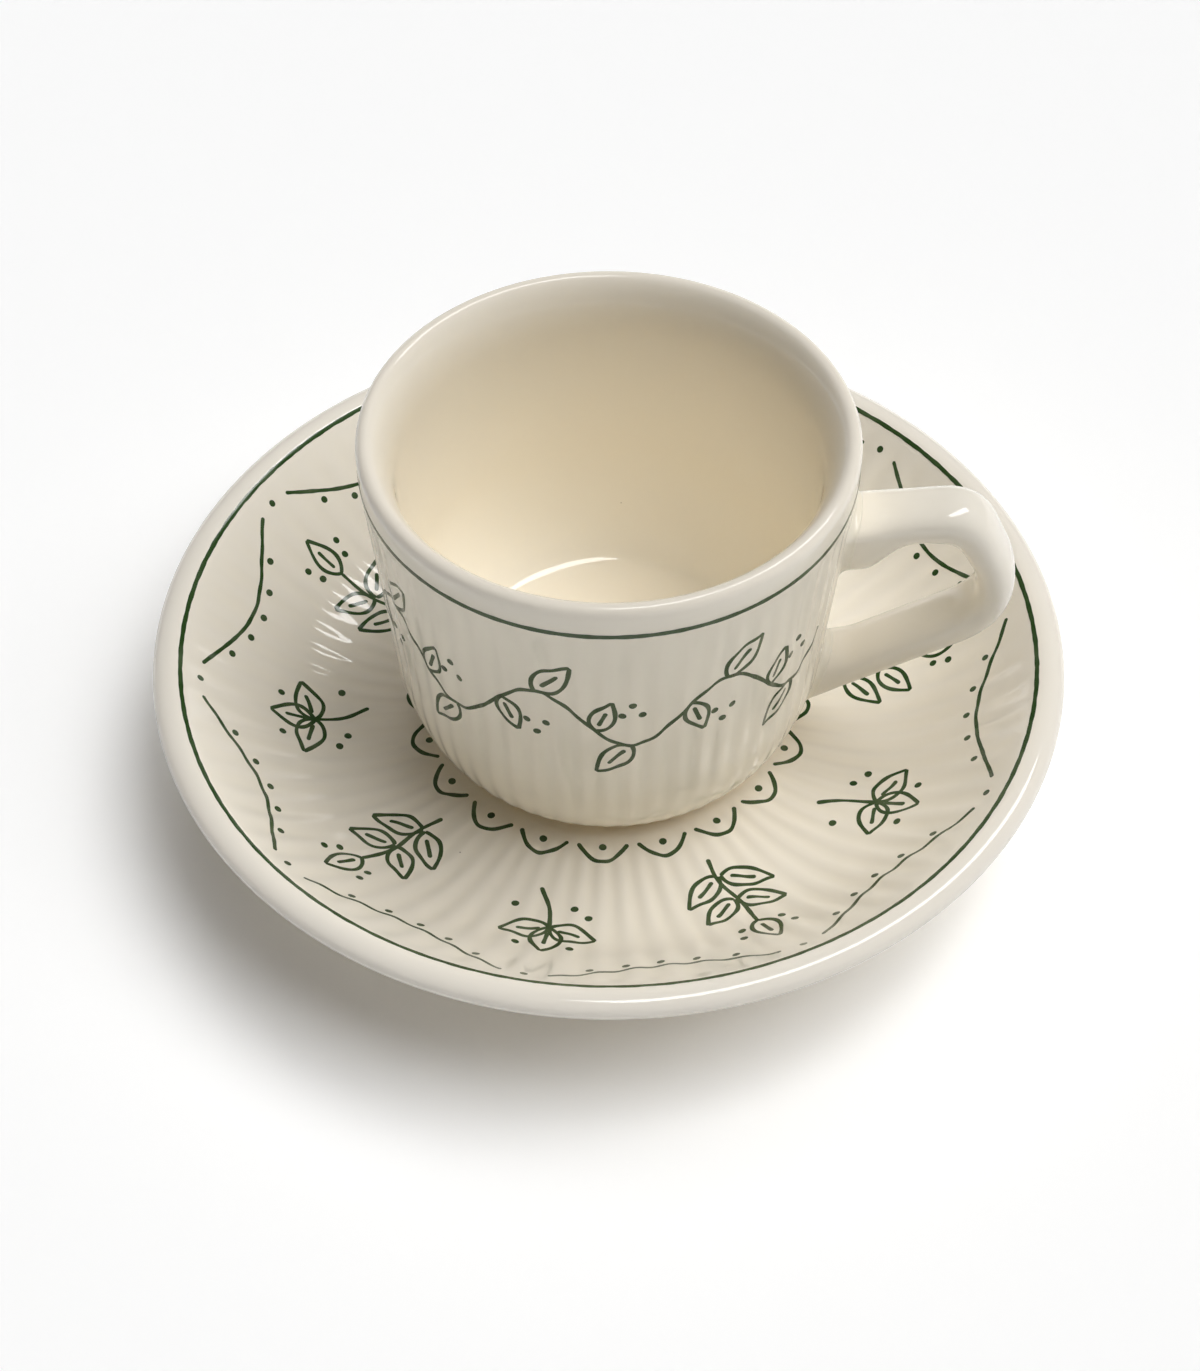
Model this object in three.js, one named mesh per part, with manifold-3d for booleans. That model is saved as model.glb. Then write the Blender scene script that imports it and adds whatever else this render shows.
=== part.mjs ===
// A coffee cup standing on its saucer: millimetres, +Z up, origin on the table under the common axis.
// Cup and saucer are moulded earthenware with fluted faces and plain round rims, and the handle points
// along +X. The handle is cast by itself and stuck to the wall with two thin seams of clay slip.
import * as THREE from "three";
import { mergeVertices } from "three/addons/utils/BufferGeometryUtils.js";
import Module from "manifold-3d";

const wasm = await Module();
wasm.setup();

// Saucer: outside, wall and foot ring
const saucerDiameter = 152;
const saucerHeight = 25.3;
const saucerWall = 4;
const saucerFootDiameter = 92;
const saucerFootHeight = 2.2;
const saucerFootWidth = 3.2;
const saucerFootTaper = 0.8;

// Saucer: upper face, from the well for the cup's foot out to the rim
const wellDepth = 0.6;
const wellClearance = 2.6;
const wellEdge = 0.8;
const saucerFloorDiameter = 72;
const floorRun = 17;
const flankRun = 15.8;
const flankAngle = THREE.MathUtils.degToRad(43.5);
const saucerRimWidth = 5.6;
const saucerRimThickness = 3.6;
const saucerRimStart = THREE.MathUtils.degToRad(137);
const saucerFlutes = 72;
const saucerFluteDepth = 0.35;

// Cup: outside, wall and foot ring
const cupHeight = 64.4;
const cupRimDiameter = 77.4;
const cupRimThickness = 2.8;
const wallTaper = 2.6;
const cupWaistDiameter = cupRimDiameter - 2 * wallTaper;
const cupWaistHeight = 25.4;
const cupFootDiameter = 49.4;
const cupFootHeight = 0.8;
const cupFootWidth = 3;
const cupWall = 3.8;
const plainBand = 6;
const fluteRunOut = 0.9;
const cupFlutes = 60;
const cupFluteDepth = 0.45;

// Cup: the round bowl inside, its dished floor, and the hollow under the foot ring
const bowlRoundHeight = 30.4;
const bowlRoundDrop = 20.5;
const bowlRoundDiameter = 36;
const bowlRoundTurn = THREE.MathUtils.degToRad(65);
const bowlFloorHeight = 10.4;
const bowlFloorDiameter = 32;
const footHollow = 5.2;

// Handle: a strap of three straight arms with two round corners, in the plane y = 0
const handleWidth = 9.8;
const lowerHandleWidth = 10.9;
const handleThickness = 6.2;
const handleDrop = 15.2;
const handleRise = 3.5;
const cornerReach = 17.5;
const cornerRadius = 5.5;
const elbowReach = 26.1;
const elbowHeight = 35.6;
const elbowRadius = 12.5;
const rootHeight = 13.7;
const rootFlare = 6;
const rootTuck = 0.8;
const rootSpread = 0.6;
const rootFlareLength = 9.5;

// Slip seams between the handle's roots and the wall
const slipThickness = 0.9;
const slipFlange = 0.5;
const seamGap = 0.3;

// How finely the round faces are divided
const columnsPerFlute = 2;
const flankSteps = 6;
const rimSteps = 2;
const roundSteps = 6;
const fluteFadeSteps = 2;
const innerRoundSteps = 4;
const handleSteps = 26;
const rootSteps = 5;
const sectionSides = 16;
const sectionSquareness = 2.4;

// Heights on the common axis: the cup's foot stands in the saucer's well
const floorTop = saucerFootHeight + saucerWall;
const seat = floorTop - wellDepth;
const rimTop = seat + cupHeight;
const cupFootRadius = cupFootDiameter / 2;
const wellRadius = cupFootRadius + wellClearance;

// The strap's centre line runs on into the wall by this much, and is trimmed there
const rootSink = handleWidth;

const glaze = new THREE.MeshStandardMaterial({ color: 0xe9e2d0, roughness: 0.16, metalness: 0 });
const rimGlaze = new THREE.MeshStandardMaterial({ color: 0xeee9db, roughness: 0.16, metalness: 0 });
const slipGlaze = new THREE.MeshStandardMaterial({ color: 0xe2d9c4, roughness: 0.2, metalness: 0 });

// One point of a turned profile, with the share of the flutes' depth that is cut there.
function station(radius, height, flute = 0) {
  return { radius, height, flute };
}

// Points of an ellipse's arc about a centre, from one angle to another.
function arc(centreRadius, centreHeight, halfWidth, halfHeight, from, to, steps) {
  const points = [];
  for (let step = 0; step <= steps; step++) {
    const angle = from + ((to - from) * step) / steps;
    const radius = centreRadius + halfWidth * Math.cos(angle);
    points.push(station(radius, centreHeight + halfHeight * Math.sin(angle)));
  }
  return points;
}

// A rim's round section, with points at its widest and at its highest place.
function rimRound(centreRadius, centreHeight, halfWidth, halfHeight, from, to) {
  const turns = [from, 0, Math.PI / 2, to];
  const quarters = turns.slice(1).map((end, quarter) =>
    arc(centreRadius, centreHeight, halfWidth, halfHeight, turns[quarter], end, rimSteps),
  );
  return quarters.flatMap((points, quarter) => (quarter === 0 ? points : points.slice(1)));
}

// The outward normal of each point of a profile that runs up the outside and back over the top.
function profileNormals(profile) {
  return profile.map((_, row) => {
    const before = profile[Math.max(row - 1, 0)];
    const after = profile[Math.min(row + 1, profile.length - 1)];
    const along = new THREE.Vector2(after.radius - before.radius, after.height - before.height);
    along.normalize();
    return new THREE.Vector2(along.y, -along.x);
  });
}

// A geometry with shared corners and nothing but positions, ready to be joined or cut.
function welded(geometry) {
  geometry.deleteAttribute("normal");
  geometry.deleteAttribute("uv");
  return mergeVertices(geometry);
}

// Turns a profile about the Z axis and cuts the flutes in, square to the profile.
function turned(profile, flutes, fluteDepth) {
  const columns = flutes * columnsPerFlute;
  const outline = profile.map((point) => new THREE.Vector2(point.radius, point.height));
  const geometry = new THREE.LatheGeometry(outline, columns);
  const normals = profileNormals(profile);
  const position = geometry.attributes.position;
  for (let index = 0; index < position.count; index++) {
    const column = Math.floor(index / profile.length);
    const row = index % profile.length;
    const turn = (column / columns) * 2 * Math.PI;
    const cut = (fluteDepth * profile[row].flute * (1 - Math.cos(flutes * turn))) / 2;
    const radius = profile[row].radius - cut * normals[row].x;
    const height = profile[row].height - cut * normals[row].y;
    position.setXYZ(index, radius * Math.sin(turn), height, radius * Math.cos(turn));
  }
  geometry.rotateX(Math.PI / 2);
  return welded(geometry);
}

// A closed body through a row of rings that have the same number of points.
function lofted(rings) {
  const sides = rings[0].length;
  const corners = rings.flat();
  const faces = [];
  for (let ring = 0; ring < rings.length - 1; ring++) {
    for (let side = 0; side < sides; side++) {
      const next = (side + 1) % sides;
      const low = ring * sides;
      const high = low + sides;
      faces.push(low + side, low + next, high + next);
      faces.push(low + side, high + next, high + side);
    }
  }
  const last = (rings.length - 1) * sides;
  for (let side = 1; side < sides - 1; side++) {
    faces.push(0, side + 1, side);
    faces.push(last, last + side, last + side + 1);
  }
  const geometry = new THREE.BufferGeometry().setFromPoints(corners);
  geometry.setIndex(faces);
  return geometry;
}

function solid(geometry) {
  return new wasm.Manifold(
    new wasm.Mesh({
      numProp: 3,
      vertProperties: new Float32Array(geometry.attributes.position.array),
      triVerts: new Uint32Array(geometry.index.array),
    }),
  );
}

function geometryOf(body) {
  const mesh = body.getMesh();
  const geometry = new THREE.BufferGeometry();
  geometry.setAttribute("position", new THREE.BufferAttribute(mesh.vertProperties, mesh.numProp));
  geometry.setIndex(new THREE.BufferAttribute(mesh.triVerts, 1));
  return geometry;
}

function piece(name, geometry, material) {
  geometry.computeVertexNormals();
  const mesh = new THREE.Mesh(geometry, material);
  mesh.name = name;
  return mesh;
}

// Saucer: the flank is one curve that leaves the floor level and reaches the rim at its own slope.
const saucerRimRadius = saucerDiameter / 2 - saucerRimWidth / 2;
const saucerRimHeight = saucerHeight - saucerRimThickness / 2;
const saucerRim = rimRound(
  saucerRimRadius,
  saucerRimHeight,
  saucerRimWidth / 2,
  saucerRimThickness / 2,
  -Math.PI / 2,
  saucerRimStart,
);
const flankStart = new THREE.Vector2(saucerFloorDiameter / 2, floorTop);
const flankEnd = new THREE.Vector2(saucerRim.at(-1).radius, saucerRim.at(-1).height);
const flank = new THREE.CubicBezierCurve(
  flankStart,
  new THREE.Vector2(flankStart.x + floorRun, floorTop),
  new THREE.Vector2(
    flankEnd.x - flankRun * Math.cos(flankAngle),
    flankEnd.y - flankRun * Math.sin(flankAngle),
  ),
  flankEnd,
);

function saucerProfile() {
  const footOuter = saucerFootDiameter / 2;
  const footInner = footOuter - saucerFootWidth;
  const underside = [];
  const face = [];
  for (let step = 0; step < flankSteps; step++) {
    const point = flank.getPoint(step / flankSteps);
    const along = flank.getTangent(step / flankSteps);
    const radius = point.x + saucerWall * along.y;
    const height = point.y - saucerWall * along.x;
    if (radius > footOuter + saucerFootTaper && radius < saucerRimRadius - saucerFootTaper) {
      underside.push(station(radius, height));
    }
    face.unshift(station(point.x, point.y, 1));
  }
  return [
    station(0, saucerFootHeight),
    station(footInner, saucerFootHeight),
    station(footInner, 0),
    station(footOuter - saucerFootTaper, 0),
    station(footOuter, saucerFootHeight),
    ...underside,
    ...saucerRim,
    ...face,
    station(wellRadius + wellEdge, floorTop),
    station(wellRadius, seat),
    station(0, seat),
  ];
}

// Cup: a straight wall down to the waist, then a quarter ellipse in to the foot ring.
const wallRadius = cupRimDiameter / 2;
const waistRadius = cupWaistDiameter / 2;
const wallTop = rimTop - plainBand;
const waist = seat + cupWaistHeight;
const roundDrop = cupWaistHeight - cupFootHeight;
const lipRadius = cupRimThickness / 2;

function wallRadiusAt(height) {
  if (height >= waist) {
    return THREE.MathUtils.mapLinear(height, waist, wallTop, waistRadius, wallRadius);
  }
  const drop = Math.min((waist - height) / roundDrop, 1);
  return cupFootRadius + (waistRadius - cupFootRadius) * Math.sqrt(1 - drop * drop);
}

// The outside from the foot ring's top edge to the end of the flutes; the flutes run out at the foot.
function cupOutside() {
  const round = arc(
    cupFootRadius,
    waist,
    waistRadius - cupFootRadius,
    roundDrop,
    -Math.PI / 2,
    0,
    roundSteps,
  );
  round.forEach((point, step) => {
    point.flute = Math.min(step / fluteFadeSteps, 1);
  });
  return [...round, station(wallRadius, wallTop - fluteRunOut, 1), station(wallRadius, wallTop)];
}

function cupProfile() {
  const footInner = cupFootRadius - cupFootWidth;
  const bowlRoundRadius = bowlRoundDiameter / 2;
  const lip = arc(
    wallRadius - lipRadius,
    rimTop - lipRadius,
    lipRadius,
    lipRadius,
    0,
    Math.PI,
    2 * rimSteps,
  );
  const bowl = arc(
    bowlRoundRadius,
    seat + bowlRoundHeight,
    waistRadius - cupWall - bowlRoundRadius,
    bowlRoundDrop,
    0,
    -bowlRoundTurn,
    innerRoundSteps,
  );
  return [
    station(0, seat + footHollow),
    station(footInner, seat + footHollow),
    station(footInner, seat),
    station(cupFootRadius, seat),
    ...cupOutside(),
    ...lip,
    ...bowl,
    station(bowlFloorDiameter / 2, seat + bowlFloorHeight),
    station(0, seat + bowlFloorHeight),
  ];
}

// The cup's outside without flutes, filled to the axis and grown by a distance: it trims what meets the wall.
function cupEnvelope(growth) {
  const outside = cupOutside();
  const normals = profileNormals(outside);
  const grown = outside.map((point, row) =>
    station(point.radius + growth * normals[row].x, point.height + growth * normals[row].y),
  );
  const profile = [
    station(0, grown[0].height),
    ...grown,
    station(wallRadius + growth, rimTop + growth),
    station(0, rimTop + growth),
  ];
  return solid(turned(profile, cupFlutes, 0));
}

// Handle: its centre line starts and ends inside the wall, where the envelope trims it.
function handlePath() {
  const upperHeight = rimTop - handleDrop;
  const lowerHeight = seat + rootHeight;
  const upperRoot = new THREE.Vector3(wallRadius, 0, upperHeight);
  const corner = new THREE.Vector3(wallRadius + cornerReach, 0, upperHeight + handleRise);
  const elbow = new THREE.Vector3(wallRadius + elbowReach, 0, seat + elbowHeight);
  const lowerRoot = new THREE.Vector3(wallRadiusAt(lowerHeight), 0, lowerHeight);
  const start = upperRoot.clone().addScaledVector(upperRoot.clone().sub(corner).normalize(), rootSink);
  const end = lowerRoot.clone().addScaledVector(lowerRoot.clone().sub(elbow).normalize(), rootSink);
  const path = new THREE.CurvePath();
  let from = start;
  for (const [before, at, after, radius] of [
    [start, corner, elbow, cornerRadius],
    [corner, elbow, end, elbowRadius],
  ]) {
    const back = before.clone().sub(at);
    const onward = after.clone().sub(at);
    const room = Math.min(back.length(), onward.length()) / 2;
    const trim = Math.min(radius / Math.tan(back.angleTo(onward) / 2), room);
    const bendStart = at.clone().addScaledVector(back.normalize(), trim);
    const bendEnd = at.clone().addScaledVector(onward.normalize(), trim);
    path.add(new THREE.LineCurve3(from, bendStart));
    path.add(new THREE.QuadraticBezierCurve3(bendStart, at, bendEnd));
    from = bendEnd;
  }
  path.add(new THREE.LineCurve3(from, end));
  return path;
}

// Rings of the strap's rounded section along a stretch of the path. Near the wall the strap spreads a little
// sideways, flares into the loop and draws in on its outer face.
function strapRings(path, from, to, steps, flange) {
  const length = path.getLength();
  const across = new THREE.Vector3(0, 1, 0);
  const bulge = 2 / sectionSquareness;
  const rings = [];
  for (let step = 0; step <= steps; step++) {
    const share = from + ((to - from) * step) / steps;
    const centre = path.getPointAt(share);
    const upright = path.getTangentAt(share).cross(across);
    const toWall = Math.min(share, 1 - share) * length - rootSink;
    const near = THREE.MathUtils.smoothstep(rootFlareLength - toWall, 0, rootFlareLength);
    const width = THREE.MathUtils.lerp(handleWidth, lowerHandleWidth, share);
    const halfWidth = width / 2 + flange + rootSpread * near;
    const outerHalf = handleThickness / 2 + flange - rootTuck * near;
    const innerHalf = handleThickness / 2 + flange + rootFlare * near;
    const ring = [];
    for (let side = 0; side < sectionSides; side++) {
      const angle = (side / sectionSides) * 2 * Math.PI;
      const cosine = Math.cos(angle);
      const sine = Math.sin(angle);
      const wide = halfWidth * Math.sign(cosine) * Math.abs(cosine) ** bulge;
      const half = sine < 0 ? innerHalf : outerHalf;
      const thick = half * Math.sign(sine) * Math.abs(sine) ** bulge;
      ring.push(centre.clone().addScaledVector(across, wide).addScaledVector(upright, thick));
    }
    rings.push(ring);
  }
  return rings;
}

function handleGeometry(path) {
  const strap = solid(lofted(strapRings(path, 0, 1, handleSteps, 0)));
  return geometryOf(strap.subtract(cupEnvelope(2 * seamGap + slipThickness)));
}

// A slip seam is the skin of clay between the wall and one root, a little wider than the strap.
function slipGeometry(path, from, to) {
  const stub = solid(lofted(strapRings(path, from, to, rootSteps, slipFlange)));
  const skin = stub.intersect(cupEnvelope(seamGap + slipThickness));
  return geometryOf(skin.subtract(cupEnvelope(seamGap)));
}

const path = handlePath();
const rootShare = (rootSink + rootFlareLength) / path.getLength();

const cup = new THREE.Group();
cup.add(piece("cup_body", turned(cupProfile(), cupFlutes, cupFluteDepth), glaze));
cup.add(piece("handle", handleGeometry(path), rimGlaze));
cup.add(piece("upper_handle_slip", slipGeometry(path, 0, rootShare), slipGlaze));
cup.add(piece("lower_handle_slip", slipGeometry(path, 1 - rootShare, 1), slipGlaze));

const cupAndSaucer = new THREE.Group();
cupAndSaucer.add(piece("saucer", turned(saucerProfile(), saucerFlutes, saucerFluteDepth), glaze));
cupAndSaucer.add(cup);

export default cupAndSaucer;
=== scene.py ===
import math
import bpy
import numpy as np
from mathutils import Matrix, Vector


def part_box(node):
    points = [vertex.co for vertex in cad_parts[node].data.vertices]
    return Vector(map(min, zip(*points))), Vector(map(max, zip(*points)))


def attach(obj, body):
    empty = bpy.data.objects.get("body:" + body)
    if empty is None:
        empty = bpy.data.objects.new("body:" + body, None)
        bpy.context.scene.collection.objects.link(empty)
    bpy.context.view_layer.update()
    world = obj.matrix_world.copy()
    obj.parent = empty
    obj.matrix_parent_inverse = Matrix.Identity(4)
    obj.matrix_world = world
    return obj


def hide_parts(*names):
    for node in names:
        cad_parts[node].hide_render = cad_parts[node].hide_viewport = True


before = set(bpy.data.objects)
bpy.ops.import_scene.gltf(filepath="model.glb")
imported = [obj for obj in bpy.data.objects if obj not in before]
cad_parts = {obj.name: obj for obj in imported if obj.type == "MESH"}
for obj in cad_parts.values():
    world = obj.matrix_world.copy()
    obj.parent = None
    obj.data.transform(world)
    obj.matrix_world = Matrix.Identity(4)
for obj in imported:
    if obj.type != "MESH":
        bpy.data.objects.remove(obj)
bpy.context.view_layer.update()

# Saucer
# One piece of pale earthenware, pressed over a fluted mould and dipped in ivory glaze. A shallow well in its
# floor takes the cup's foot, and the ground face of its foot ring is wiped bare before firing.
mm = 0.001
saucer_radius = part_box("saucer")[1].x
saucer_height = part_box("saucer")[1].z
saucer_wall = 4.0 * mm
saucer_foot_radius = 46.0 * mm
saucer_foot_height = 2.2 * mm
saucer_foot_width = 3.2 * mm
saucer_foot_taper = 0.8 * mm
well_radius = 27.3 * mm
well_edge = 2.4 * mm
floor_radius = 36.0 * mm
floor_run = 17.0 * mm
flank_run = 15.8 * mm
flank_slope = math.radians(43.5)
saucer_rim_half_width = 2.8 * mm
saucer_rim_half_height = 1.8 * mm
saucer_rim_end = 137
saucer_flutes = 72
saucer_flute_depth = 0.23 * mm
flutes_fade_in = 29.0 * mm
flutes_full_from = 35.0 * mm
flutes_full_to = 67.0 * mm
flutes_fade_out = 70.6 * mm
saucer_floor = saucer_foot_height + saucer_wall
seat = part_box("cup_body")[0].z


def arc(centre, half_width, half_height, start, end, steps=24):
    """Points of an ellipse's arc in a section, between two angles in degrees."""
    turn = np.radians(np.linspace(start, end, steps + 1))
    return np.stack([centre[0] + half_width * np.cos(turn), centre[1] + half_height * np.sin(turn)], 1)


def bow(start, leave, arrive, end, steps=40):
    """A cubic curve in a section, from start to end, that sets off towards leave and comes in from arrive."""
    t = np.linspace(0, 1, steps + 1)[:, None]
    return (1 - t) ** 3 * start + 3 * (1 - t) ** 2 * t * leave + 3 * (1 - t) * t**2 * arrive + t**3 * end


def glazed(section, softness):
    """A section in fine even steps, from axis to axis, with its corners rounded off as by glaze."""
    step = 0.1 * mm
    run = np.append(0, np.cumsum(np.linalg.norm(np.diff(section, axis=0), axis=1)))
    even = np.linspace(0, run[-1], round(run[-1] / step) + 1)
    fine = np.stack([np.interp(even, run, column) for column in section.T], 1)
    reach = round(3 * softness / step)
    weights = np.exp(-0.5 * (np.arange(-reach, reach + 1) * step / softness) ** 2)
    over_axis = np.array([-1, 1])
    padded = np.vstack([fine[reach:0:-1] * over_axis, fine, fine[-2 : -reach - 2 : -1] * over_axis])
    return np.stack([np.convolve(column, weights / weights.sum(), "valid") for column in padded.T], 1)


class TurnedSkin:
    """The skin of a piece turned about the common axis, with flutes cut square to its section."""

    def __init__(self, section, share, flutes, depth, painted_light):
        self.section = section
        self.share = share
        self.flutes = flutes
        self.depth = depth
        self.painted_light = painted_light
        self.rows = np.arange(len(section))
        along = np.gradient(section, axis=0)
        self.run = np.append(0, np.cumsum(np.linalg.norm(np.diff(section, axis=0), axis=1)))
        self.outward = np.stack([along[:, 1], -along[:, 0]], 1) / np.linalg.norm(along, axis=1)[:, None]
        heading = np.unwrap(np.arctan2(along[:, 1], along[:, 0]))
        self.bend = np.gradient(heading) / np.gradient(self.run)

    def at(self, row, values):
        return np.interp(row, self.rows, values)

    def valley(self, row, angle):
        """From 0 on a flute's ridge to 1 in its valley, a little uneven as in a hand-worked mould."""
        along = self.at(row, self.run) / mm
        sway = 0.22 * np.sin(5 * angle + 0.11 * along) + 0.16 * np.sin(11 * angle - 0.19 * along + 1.7)
        swell = 1 + 0.16 * np.sin(7 * angle + 0.23 * along + 0.6) + 0.1 * np.sin(17 * angle - 0.31 * along)
        return swell * (1 - np.cos(self.flutes * angle + sway)) / 2

    def place(self, row, angle, lift=0.0):
        """The point of the skin at a row and an angle about the axis, lifted square off it."""
        out = lift - self.depth * self.at(row, self.share) * self.valley(row, angle)
        radius = self.at(row, self.section[:, 0]) + out * self.at(row, self.outward[:, 0])
        height = self.at(row, self.section[:, 1]) + out * self.at(row, self.outward[:, 1])
        return np.stack([radius * np.cos(angle), radius * np.sin(angle), height + 0 * angle], -1)

    def glaze_depth_and_painted_light(self, row, angle):
        """Below 0 where glaze runs thin over an edge, above 0 where it pools in a hollow, and raised by
        painted light in the cup's bowl.
        """
        edge = np.clip(-self.at(row, self.bend) * 1.6 * mm, -1, 1)
        return edge + self.at(row, self.painted_light) + 0.7 * self.at(row, self.share) * self.valley(row, angle)

    def spaced_rows(self, longest, sharpest):
        """Rows along the section, no further apart than a length, and closer together where it bends."""
        turned = np.abs(self.bend[1:]) * np.diff(self.run) / math.radians(sharpest)
        count = np.append(0, np.cumsum(np.diff(self.run) / longest + turned))
        return np.interp(np.linspace(0, count[-1], round(count[-1]) + 1), count, self.rows)


def band(low, low_count, high, high_count):
    """Faces between two rings of corners, where the larger count is a multiple of the smaller."""
    joints = min(low_count, high_count)
    low_step, high_step = low_count // joints, high_count // joints
    faces = []
    for j in range(joints):
        under = [low + (j * low_step + k) % low_count for k in range(low_step + 1)]
        over = [high + (j * high_step + k) % high_count for k in range(high_step + 1)]
        faces.append(under + over[::-1])
    return faces


def mesh_piece(name, corners, faces, materials):
    """A smooth mesh object with its materials."""
    mesh = bpy.data.meshes.new(name)
    mesh.from_pydata(corners, [], faces)
    mesh.shade_smooth()
    for material in materials:
        mesh.materials.append(material)
    piece = bpy.data.objects.new(name, mesh)
    bpy.context.scene.collection.objects.link(piece)
    return piece


def turned_piece(name, skin, plain_columns, columns_per_flute, materials, bare_below):
    """A turned body of a skin: fine columns where it is fluted, plain ones elsewhere, few beside the axis."""
    few_columns = plain_columns // 4
    near_axis = 8 * mm
    rows = skin.spaced_rows(longest=1.9 * mm, sharpest=8)
    rows = rows[skin.at(rows, skin.section[:, 0]) > near_axis / 4]
    counts = np.full(len(rows), plain_columns)
    counts[skin.at(rows, skin.section[:, 0]) < near_axis] = few_columns
    counts[skin.at(rows, skin.share) > 0] = skin.flutes * columns_per_flute
    starts = np.append(0, np.cumsum(counts))
    angles = [np.arange(count) / count * math.tau for count in counts]
    corners = np.vstack([skin.place(row, angle) for row, angle in zip(rows, angles)])
    faces = [list(range(counts[0]))[::-1]]
    for row in range(len(rows) - 1):
        faces += band(starts[row], counts[row], starts[row + 1], counts[row + 1])
    faces.append(list(range(starts[-2], starts[-1])))
    piece = mesh_piece(name, corners, faces, materials)
    depth = piece.data.attributes.new("glaze_depth_and_painted_light", "FLOAT", "POINT")
    depth.data.foreach_set("value", np.concatenate([skin.glaze_depth_and_painted_light(r, a) for r, a in zip(rows, angles)]))
    for face in piece.data.polygons:
        face.material_index = int(face.center.z < bare_below and face.normal.z < -0.7)
    return piece


def add_node(tree, kind, inputs, **settings):
    """A shader node with its settings, and with each input set to a value or linked to a socket."""
    made = tree.nodes.new(kind)
    for setting, value in settings.items():
        setattr(made, setting, value)
    for socket, value in inputs.items():
        if isinstance(value, bpy.types.NodeSocket):
            tree.links.new(value, made.inputs[socket])
        else:
            made.inputs[socket].default_value = value
    return made


def new_group(name, inputs, outputs):
    """An empty shader node group with named sockets, and its input and output nodes."""
    group = bpy.data.node_groups.new(name, "ShaderNodeTree")
    for way, sockets in (("INPUT", inputs), ("OUTPUT", outputs)):
        for socket, kind in sockets.items():
            group.interface.new_socket(socket, in_out=way, socket_type="NodeSocket" + kind)
    return group, group.nodes.new("NodeGroupInput").outputs, group.nodes.new("NodeGroupOutput").inputs


def ivory_glaze_group():
    """Glaze in its thin colour where it runs thin and its pooled colour where it pools, the pooled colour
    also painted light in the cup's bowl; clouded, with a few iron specks.
    """
    group, given, out = new_group(
        "ivory_glaze",
        {"Depth": "Float", "Thin": "Color", "Pooled and lit": "Color", "Iron": "Color"},
        {"Color": "Color", "Roughness": "Float", "Height": "Float"},
    )
    place = group.nodes.new("ShaderNodeTexCoord").outputs["Object"]
    cloud = add_node(group, "ShaderNodeTexNoise", {"Vector": place, "Scale": 55, "Detail": 3})
    mottle = add_node(group, "ShaderNodeTexNoise", {"Vector": place, "Scale": 620, "Detail": 2})
    fine = add_node(
        group, "ShaderNodeMapRange", {"Value": mottle.outputs["Fac"], "To Min": -0.35, "To Max": 0.25}
    )
    drawn = add_node(
        group,
        "ShaderNodeMath",
        {0: cloud.outputs["Fac"], 1: 0.9, 2: fine.outputs[0]},
        operation="MULTIPLY_ADD",
    )
    summed = add_node(group, "ShaderNodeMath", {0: given["Depth"], 1: drawn.outputs[0]})
    pooled_and_lit = add_node(
        group, "ShaderNodeMapRange", {"Value": summed.outputs[0], "From Min": -0.5, "From Max": 1.3}
    )
    body = add_node(
        group,
        "ShaderNodeMix",
        {0: pooled_and_lit.outputs[0], 6: given["Thin"], 7: given["Pooled and lit"]},
        data_type="RGBA",
    )
    cells = add_node(group, "ShaderNodeTexVoronoi", {"Vector": place, "Scale": 150})
    near = add_node(
        group,
        "ShaderNodeMapRange",
        {"Value": cells.outputs["Distance"], "From Min": 0.012, "From Max": 0.03, "To Min": 1, "To Max": 0},
    )
    pick = add_node(group, "ShaderNodeSeparateColor", {0: cells.outputs["Color"]})
    chosen = add_node(group, "ShaderNodeMath", {0: pick.outputs[0], 1: 0.8}, operation="GREATER_THAN")
    faint = add_node(
        group, "ShaderNodeMath", {0: pick.outputs[1], 1: chosen.outputs[0]}, operation="MULTIPLY"
    )
    speck = add_node(
        group, "ShaderNodeMath", {0: near.outputs[0], 1: faint.outputs[0]}, operation="MULTIPLY"
    )
    specked = add_node(
        group, "ShaderNodeMix", {0: speck.outputs[0], 6: body.outputs[2], 7: given["Iron"]}, data_type="RGBA"
    )
    ripple = add_node(group, "ShaderNodeTexNoise", {"Vector": place, "Scale": 210, "Detail": 2})
    sheen = add_node(
        group, "ShaderNodeMapRange", {"Value": ripple.outputs["Fac"], "To Min": 0.008, "To Max": 0.025}
    )
    group.links.new(specked.outputs[2], out["Color"])
    group.links.new(sheen.outputs[0], out["Roughness"])
    group.links.new(ripple.outputs["Fac"], out["Height"])
    return group


ivory_glaze = ivory_glaze_group()


def glaze_material(name, thin, pooled_and_lit):
    """Clear glossy ivory glaze over pale clay."""
    material = bpy.data.materials.new(name)
    material.use_nodes = True
    tree = material.node_tree
    shader = tree.nodes["Principled BSDF"]
    # The attribute holds glaze thinning and pooling, plus painted light that makes the cup's bowl paler.
    depth = add_node(tree, "ShaderNodeAttribute", {}, attribute_name="glaze_depth_and_painted_light")
    glaze = add_node(
        tree,
        "ShaderNodeGroup",
        {"Depth": depth.outputs["Fac"], "Thin": thin, "Pooled and lit": pooled_and_lit, "Iron": (0.16, 0.11, 0.07, 1)},
        node_tree=ivory_glaze,
    )
    relief = add_node(
        tree, "ShaderNodeBump", {"Height": glaze.outputs["Height"], "Strength": 0.5, "Distance": 0.03 * mm}
    )
    tree.links.new(glaze.outputs["Color"], shader.inputs["Base Color"])
    tree.links.new(glaze.outputs["Roughness"], shader.inputs["Roughness"])
    tree.links.new(relief.outputs["Normal"], shader.inputs["Normal"])
    shader.inputs["IOR"].default_value = 1.52
    return material


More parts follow.
